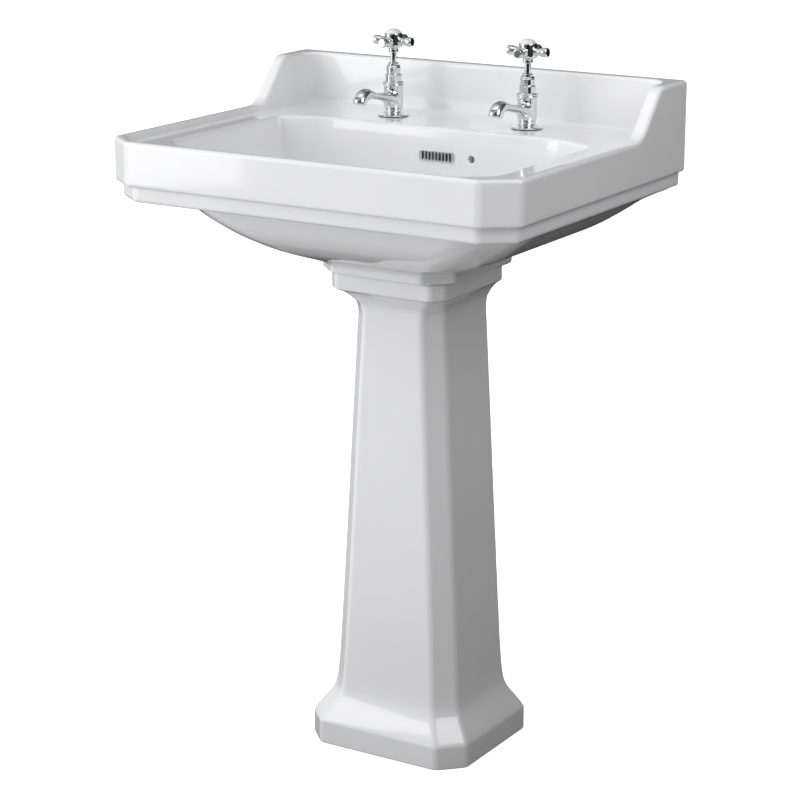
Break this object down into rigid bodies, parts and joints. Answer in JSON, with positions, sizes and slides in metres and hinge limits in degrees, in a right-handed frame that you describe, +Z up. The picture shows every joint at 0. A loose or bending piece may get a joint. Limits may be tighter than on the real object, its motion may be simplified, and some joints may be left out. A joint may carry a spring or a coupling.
{
  "type": "pedestal sink",
  "caption": "Pedestal sink with a chamfered china basin, upstand with side wings, fluted-foot pedestal, pillar taps with cross handles, push-plug waste and bottle trap.",
  "frame": {"origin": "on the floor, under the middle of the basin's outline", "axes": "+X to the right seen from the front, +Y towards the wall, +Z up; the front faces -Y"},
  "size_m": [0.595, 0.47, 0.9556],
  "materials": {
    "vitreous_china": "gloss white glaze",
    "chrome": "polished chrome plate",
    "brass": "machined",
    "rubber": "matt black",
    "ceramic_disc": "ground flat",
    "porcelain": "gloss off-white",
    "white_plastic": "moulded",
    "sealant": "satin white sealant"
  },
  "bodies": {
    "fixture": {"basin": "vitreous_china", "pedestal": "vitreous_china", "pedestal_seal": "sealant", "overflow_grille": "chrome", "hot_tap_body": "chrome", "hot_base_seal": "rubber", "hot_under_washer": "white_plastic", "hot_backnut": "brass", "hot_seat_seal": "rubber", "hot_fixed_disc": "ceramic_disc", "hot_valve_body": "brass", "hot_gland": "chrome", "cold_tap_body": "chrome", "cold_base_seal": "rubber", "cold_under_washer": "white_plastic", "cold_backnut": "brass", "cold_seat_seal": "rubber", "cold_fixed_disc": "ceramic_disc", "cold_valve_body": "brass", "cold_gland": "chrome", "waste_body": "chrome", "waste_top_seal": "rubber", "waste_under_seal": "rubber", "waste_backnut": "brass", "waste_cartridge": "white_plastic", "trap_body": "chrome", "trap_inlet_nut": "chrome", "trap_inlet_seal": "rubber", "trap_cup": "chrome", "trap_cup_seal": "rubber", "trap_outlet_nut": "chrome", "trap_outlet_seal": "rubber"},
    "hot_handle": {"hot_turning_disc": "ceramic_disc", "hot_spindle": "chrome", "hot_spindle_ring": "rubber", "hot_cross_handle": "chrome", "hot_handle_screw": "chrome", "hot_index": "porcelain"},
    "cold_handle": {"cold_turning_disc": "ceramic_disc", "cold_spindle": "chrome", "cold_spindle_ring": "rubber", "cold_cross_handle": "chrome", "cold_handle_screw": "chrome", "cold_index": "porcelain"},
    "plug": {"plug_cap": "chrome", "plug_seal": "rubber", "plug_stem": "brass"}
  },
  "joints": [
    {"name": "hot_handle_turn", "type": "hinge", "parent": "fixture", "child": "hot_handle", "pos_m": [-0.103, 0.16, 0.939], "axis": [0, 0, 1], "range_deg": [0, 90]},
    {"name": "cold_handle_turn", "type": "hinge", "parent": "fixture", "child": "cold_handle", "pos_m": [0.103, 0.16, 0.939], "axis": [0, 0, 1], "range_deg": [-90, 0]},
    {"name": "plug_push", "type": "slide", "parent": "fixture", "child": "plug", "axis": [0, 0, -1], "range_m": [0, 0.008]}
  ]
}
